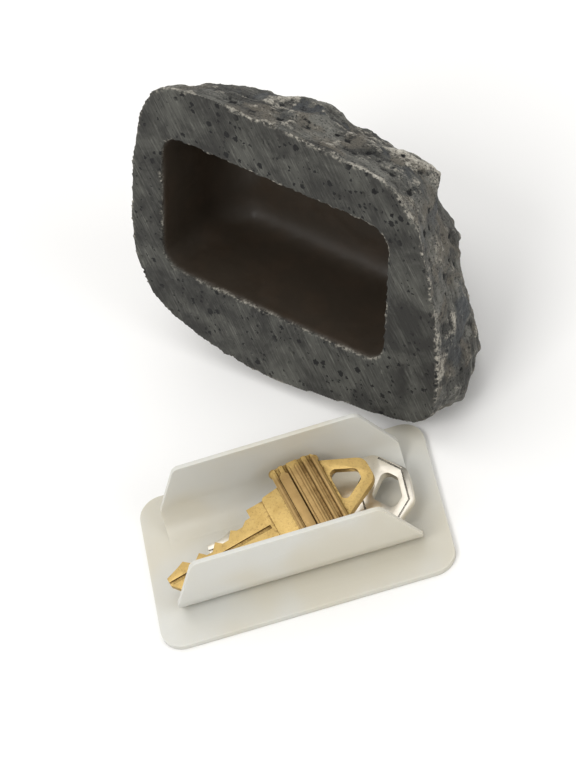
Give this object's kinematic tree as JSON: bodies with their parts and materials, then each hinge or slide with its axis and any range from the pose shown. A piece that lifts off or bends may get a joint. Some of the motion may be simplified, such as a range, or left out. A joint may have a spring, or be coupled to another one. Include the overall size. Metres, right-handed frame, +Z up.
{
  "type": "hide-a-key rock",
  "caption": "Hollow cast rock that hides house keys: an irregular stone shell with a tapered mouth in its flat face, and a push-in plastic key tray with a curved trough.",
  "frame": {"origin": "middle of the underside of the tray's plate, which lies on the floor", "axes": "+X along the tray, +Y from the tray to the tipped rock behind it, +Z up"},
  "size_m": [0.1003, 0.1281, 0.081],
  "materials": {
    "cast_stone": "rough stone-like resin casting, smooth brown inside the hollow",
    "tray_plastic": "satin off-white moulded polypropylene",
    "key_brass": "worn bare brass",
    "key_nickel": "satin nickel plate"
  },
  "bodies": {
    "tray": {"key_tray": "tray_plastic"},
    "rock": {"rock": "cast_stone"},
    "brass_key": {"brass_key": "key_brass"},
    "nickel_key": {"nickel_key": "key_nickel"}
  },
  "joints": [
    {"name": "rock_tip", "type": "hinge", "parent": "tray", "child": "rock", "pos_m": [0.01777, 0.03898, 0.0044], "axis": [0.8852, -0.4034, 0.2317], "range_deg": [0, 113]},
    {"name": "brass_key_slide", "type": "slide", "parent": "tray", "child": "brass_key", "axis": [0.9718, 0.2154, 0.0958], "range_m": [0, 0.004]},
    {"name": "nickel_key_slide", "type": "slide", "parent": "tray", "child": "nickel_key", "axis": [-0.9998, 0.0175, 0], "range_m": [0, 0.004]}
  ]
}
